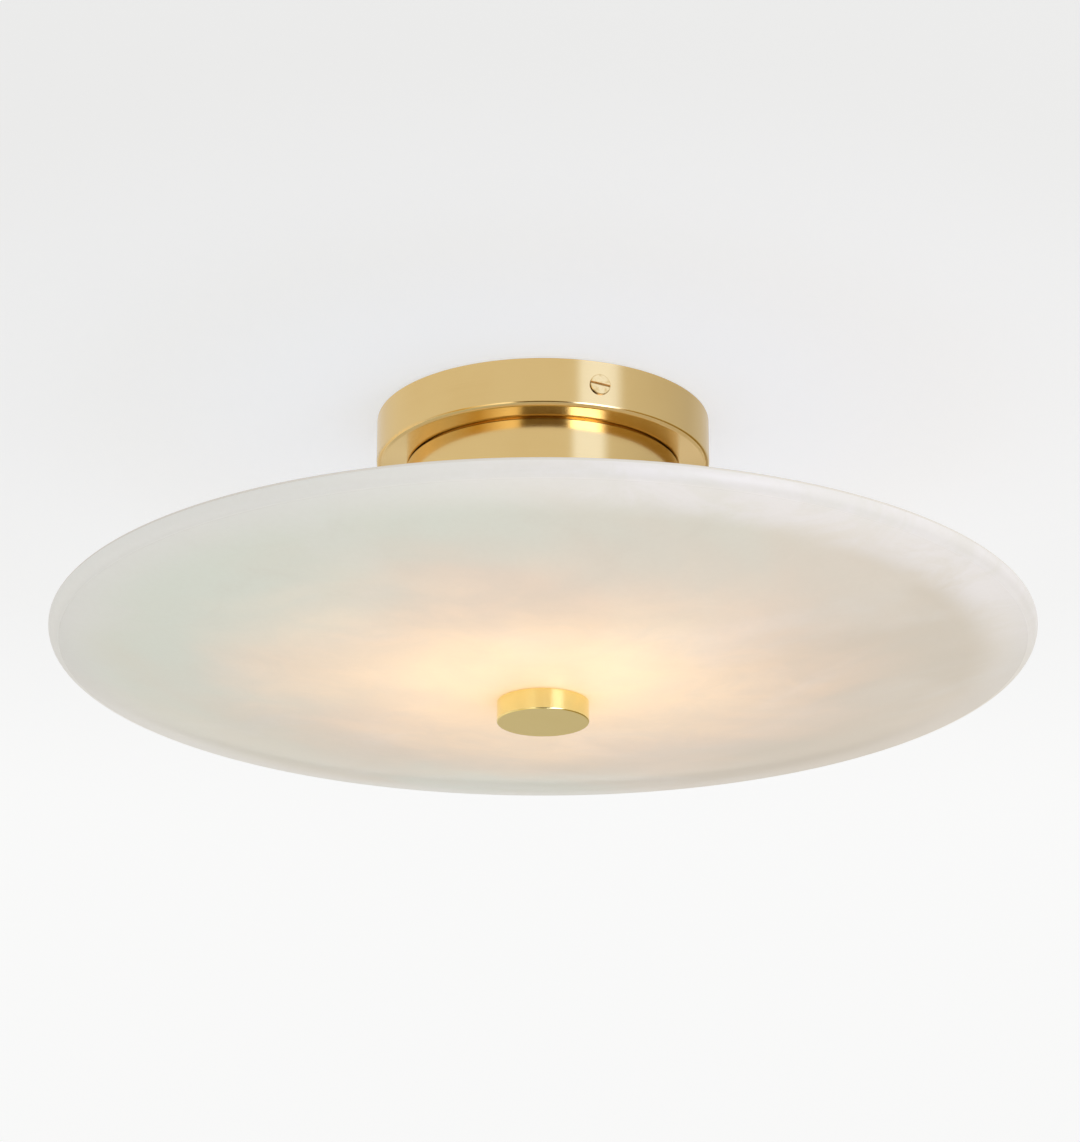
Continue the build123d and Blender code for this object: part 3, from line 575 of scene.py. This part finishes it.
def dress_solids():
    """Materials of the CAD nodes; a node that is not named here gets plated steel."""
    turned = turned_brass("turned_brass", linear(233, 205, 145), linear(222, 189, 124),
                          roughness=0.15, anisotropy=0.3)
    polished = turned_brass("polished_brass", linear(249, 235, 166), linear(242, 224, 148),
                            roughness=0.11, anisotropy=0.2)
    side_screw = screw_brass("side_screw_brass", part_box("canopy")[1].x + SCREW_BROWNING_AND_SHADE)
    steel = zinc_steel()
    rubber = black_rubber()
    driver = moulded("driver_plastic", linear(236, 236, 234), linear(228, 228, 225), roughness=0.5)
    terminal = moulded("terminal_plastic", linear(228, 226, 216), linear(220, 217, 204), roughness=0.42)
    connector = moulded("connector_plastic", linear(240, 238, 230), linear(232, 229, 218), roughness=0.45)
    dress = {
        "canopy": turned, "drum": turned, "seat_washer": turned, "finial": polished,
        "canopy_screws": side_screw, "earth_screw": screw_brass("screw_brass", foot=0.0),
        "heat_sink": bare_aluminium(),
        "canopy_grommet": rubber, "heat_sink_grommet": rubber, "upper_gasket": rubber, "lower_gasket": rubber,
        "terminal_block": terminal, "led_connector": connector,
        "driver_case": driver, "driver_lid": driver,
        "led_board": solder_mask(), "led_chips": led_phosphor(), "diffuser": opal_acrylic(),
        "live_lead": insulation("brown_insulation", linear(104, 62, 36), linear(92, 52, 30)),
        "neutral_lead": insulation("blue_insulation", linear(44, 94, 168), linear(36, 82, 152)),
        "led_leads": insulation("red_insulation", linear(176, 36, 32), linear(160, 30, 28)),
        "earth_lead": earth_insulation(),
    }
    for name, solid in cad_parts.items():
        solid.data.materials.clear()
        solid.data.materials.append(dress.get(name, steel))
    return steel


def put(name, data):
    """New object in the scene."""
    item = bpy.data.objects.new(name, data)
    bpy.context.scene.collection.objects.link(item)
    return item


def lathe(name, outline, segments, materials, pick):
    """Closed ring turned from an outline of radius and level; pick gives the material of each band."""
    count = len(outline)
    vertices = []
    for k in range(segments):
        angle = 2 * math.pi * k / segments
        vertices += [(r * math.cos(angle), r * math.sin(angle), z) for r, z in outline]
    faces = []
    for k in range(segments):
        here, there = k * count, (k + 1) % segments * count
        for i in range(count):
            after = (i + 1) % count
            faces.append((here + i, there + i, there + after, here + after))
    mesh = bpy.data.meshes.new(name)
    mesh.from_pydata(vertices, [], faces)
    for material in materials:
        mesh.materials.append(material)
    for face in mesh.polygons:
        face.use_smooth = True
        face.material_index = pick(face.index % count)
    mesh.set_sharp_from_angle(angle=SHARP_ANGLE)
    return put(name, mesh)


def arc(place, radius, first, last, steps):
    """Points of an arc round a place in an outline; angles count from straight down towards the outside."""
    angles = [first + (last - first) * k / steps for k in range(steps + 1)]
    return [(place[0] + radius * math.sin(a), place[1] - radius * math.cos(a)) for a in angles]


def dome(start, end):
    """Centre level and radius of the arc through two points of an outline, centred on the light's axis."""
    (r1, z1), (r2, z2) = start, end
    centre = (r2**2 - r1**2 + z2**2 - z1**2) / (2 * (z2 - z1))
    return centre, math.hypot(r1, centre - z1)


def dome_side(reach, seat, centre, dome_radius, rounding, inside):
    """Dome from its flat seat to the rim, and the rounding that leads on to the upright rim edge."""
    gap = dome_radius + rounding if inside else dome_radius - rounding
    across = reach - rounding
    place = (across, centre - math.sqrt(gap**2 - across**2))
    meet = math.asin(across / gap)
    slope = arc((0.0, centre), dome_radius, math.asin(seat / dome_radius), meet, DOME_STEPS)
    return slope + arc(place, rounding, meet + math.pi if inside else meet, math.pi / 2, CORNER_STEPS)[1:]


def alabaster_dish():
    """Dish with a finer dome and rim than the solid's, in three kinds of stone surface."""
    low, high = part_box("dish")
    reach, bottom, rim_top = high.x, low.z, high.z
    shape = dome((DISH_FLOOR_RADIUS, DISH_FLOOR_LEVEL), (reach, rim_top))
    inside = [(DISH_HOLE_RADIUS, DISH_FLOOR_LEVEL)]
    inside += dome_side(reach, DISH_FLOOR_RADIUS, *shape, RIM_TOP_ROUNDING, True)
    shape = dome((DISH_SEAT_RADIUS, bottom), (reach, rim_top - RIM_EDGE))
    outside = [(DISH_HOLE_RADIUS, bottom)]
    outside += dome_side(reach, DISH_SEAT_RADIUS, *shape, RIM_LOW_ROUNDING, False)
    outline = inside + outside[::-1]
    rim_start = len(inside) - 1
    rim_end = rim_start + CORNER_STEPS

    def pick(band):
        if band < rim_start or band == len(outline) - 1:
            return 0
        return 2 if band <= rim_end else 1

    materials = [alabaster_inside(), alabaster_outside(), alabaster_rim()]
    piece = lathe("dish_stone", outline, DISH_SEGMENTS, materials, pick)
    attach(piece, "dish")
    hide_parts("dish")


def threaded_rod(steel):
    """Hanging rod with its real thread, in place of the plain solid."""
    low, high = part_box("hanging_rod")
    crest = high.x
    rows = round((high.z - low.z) / THREAD_PITCH * THREAD_STEPS)
    vertices = []
    for row in range(rows + 1):
        z = low.z + (high.z - low.z) * row / rows
        taper = min(1.0, min(z - low.z, high.z - z) / THREAD_PITCH)
        for k in range(THREAD_SEGMENTS):
            turn = k / THREAD_SEGMENTS
            phase = ((z - low.z) / THREAD_PITCH - turn) % 1.0
            flank = abs(2 * phase - 1)
            r = crest - THREAD_DEPTH * (1 - taper * flank)
            vertices.append((r * math.cos(2 * math.pi * turn), r * math.sin(2 * math.pi * turn), z))
    faces = []
    for row in range(rows):
        for k in range(THREAD_SEGMENTS):
            here, there = row * THREAD_SEGMENTS + k, row * THREAD_SEGMENTS + (k + 1) % THREAD_SEGMENTS
            faces.append((here, there, there + THREAD_SEGMENTS, here + THREAD_SEGMENTS))
    faces.append(tuple(reversed(range(THREAD_SEGMENTS))))
    faces.append(tuple(range(rows * THREAD_SEGMENTS, (rows + 1) * THREAD_SEGMENTS)))
    mesh = bpy.data.meshes.new("threaded_rod")
    mesh.from_pydata(vertices, [], faces)
    mesh.materials.append(steel)
    piece = put("threaded_rod", mesh)
    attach(piece, "housing")
    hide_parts("hanging_rod")


def ceiling():
    """Pale ceiling that is seen only from below, so that views from above look past it."""
    half = CEILING_SIZE / 2
    mesh = bpy.data.meshes.new("ceiling")
    sides = ((-half, -half), (-half, half), (half, half), (half, -half))
    mesh.from_pydata([(x, y, CEILING_GAP) for x, y in sides], [], [(0, 1, 2, 3)])
    plane = put("ceiling", mesh)
    plane.visible_diffuse = False
    plane.visible_glossy = False
    plane.visible_shadow = False
    paint = Surface("ceiling_paint", CEILING_PAINT, CEILING_ROUGHNESS)
    distance = paint.length(paint.place)
    # Painted light: paler and cooler paint near the light lifts the dish's shadow and cools its warm light on
    # the ceiling
    near = paint.mix(paint.range(distance, *CEILING_SHADED_RADII), CEILING_SHADED_PAINTED_LIGHT, CEILING_NEAR_PAINTED_LIGHT)
    paint.set("Base Color", paint.mix(paint.range(distance, *CEILING_NEAR_RADII), near, CEILING_PAINT))
    paint.set("Specular IOR Level", 0.0)
    paint.set("Emission Color", CEILING_GLOW)
    away = paint.axes(paint.place)["Y"]
    paint.set("Emission Strength", paint.range(away, *CEILING_GLOW_Y, *CEILING_GLOW_LEVELS))
    above = paint.add("NewGeometry").outputs["Backfacing"]
    clear = paint.add("BsdfTransparent").outputs[0]
    one_sided = paint.blend(above, paint.shader.outputs[0], clear)
    paint.feed(paint.tree.nodes["Material Output"].inputs["Surface"], one_sided)
    mesh.materials.append(paint.material)


def room():
    """Soft light, a pale backdrop for the eye, and a studio of soft boxes and cards for the reflections."""
    world = bpy.data.worlds.new("room")
    bpy.context.scene.world = world
    world.use_nodes = True
    nodes = Nodes(world.node_tree)

    def band(turn, stops):
        """Tinted brightness round the horizon, as a share of the peak."""
        ramp = nodes.add("ValToRGB")
        nodes.feed(ramp.inputs[0], turn)
        points = ramp.color_ramp.elements
        while len(points) < len(stops):
            points.new(0.5)
        for point, (azimuth, level, tint) in zip(points, stops):
            point.position = azimuth / 360 + 0.5
            point.color = (*(level / STUDIO_PEAK * share for share in tint), 1)
        return ramp.outputs["Color"]

    def background(node, colour, strength):
        nodes.feed(node.inputs["Color"], colour)
        nodes.feed(node.inputs["Strength"], strength)
        return node.outputs[0]

    axes = nodes.axes(nodes.add("TexCoord").outputs["Generated"])
    left, right = ROOM_LEVEL * (1 - ROOM_SLANT), ROOM_LEVEL * (1 + ROOM_SLANT)
    slant = nodes.range(axes["X"], -1.0, 1.0, left, right, smooth=False)
    light = background(nodes.tree.nodes["Background"], ROOM_TINT, slant)
    pale = background(nodes.add("Background"), BACKDROP, 1.0)
    azimuth = nodes.math("ARCTAN2", axes["X"], nodes.product(axes["Y"], -1.0))
    turn = nodes.range(azimuth, -math.pi, math.pi, smooth=False)
    rise = nodes.range(axes["Z"], *STUDIO_HORIZON)
    ring = nodes.mix(rise, band(turn, STUDIO_LOW), band(turn, STUDIO_HIGH))
    studio = background(nodes.add("Background"), ring, STUDIO_PEAK)
    path = nodes.add("LightPath").outputs
    seen = nodes.math("MAXIMUM", path["Is Camera Ray"], path["Is Transmission Ray"])
    around = nodes.blend(path["Is Glossy Ray"], nodes.blend(seen, light, pale), studio)
    nodes.feed(nodes.tree.nodes["World Output"].inputs["Surface"], around)


def lamps():
    """Soft rectangular lamps that are turned towards the light; the studio stands for them in reflections."""
    for name, place, size, power in LAMPS:
        data = bpy.data.lights.new(name, "AREA")
        data.shape = "RECTANGLE"
        data.size, data.size_y = size
        data.energy = power
        body = put(name, data)
        body.location = place
        body.rotation_euler = (Vector(LAMP_TARGET) - Vector(place)).to_track_quat("-Z", "Y").to_euler()
        body.visible_glossy = False


def camera():
    """Camera of the photograph; its small shift sets the light a little right of the picture's middle."""
    data = bpy.data.cameras.new("camera")
    data.sensor_width = SENSOR_MM
    data.lens = SENSOR_MM * FOCAL_PIXELS / PHOTO_HEIGHT_PIXELS
    eye = put("camera", data)
    back = CAMERA_DISTANCE * math.cos(CAMERA_ELEVATION)
    down = CAMERA_DISTANCE * math.sin(CAMERA_ELEVATION)
    eye.location = (-AXIS_SHIFT_PIXELS / FOCAL_PIXELS * CAMERA_DISTANCE, -back, RIM_LEVEL - down)
    eye.rotation_euler = (math.pi / 2 + CAMERA_PITCH, 0, 0)
    bpy.context.scene.camera = eye


steel = dress_solids()
alabaster_dish()
threaded_rod(steel)
ceiling()
room()
lamps()
camera()
bpy.context.scene.view_settings.view_transform = "Standard"
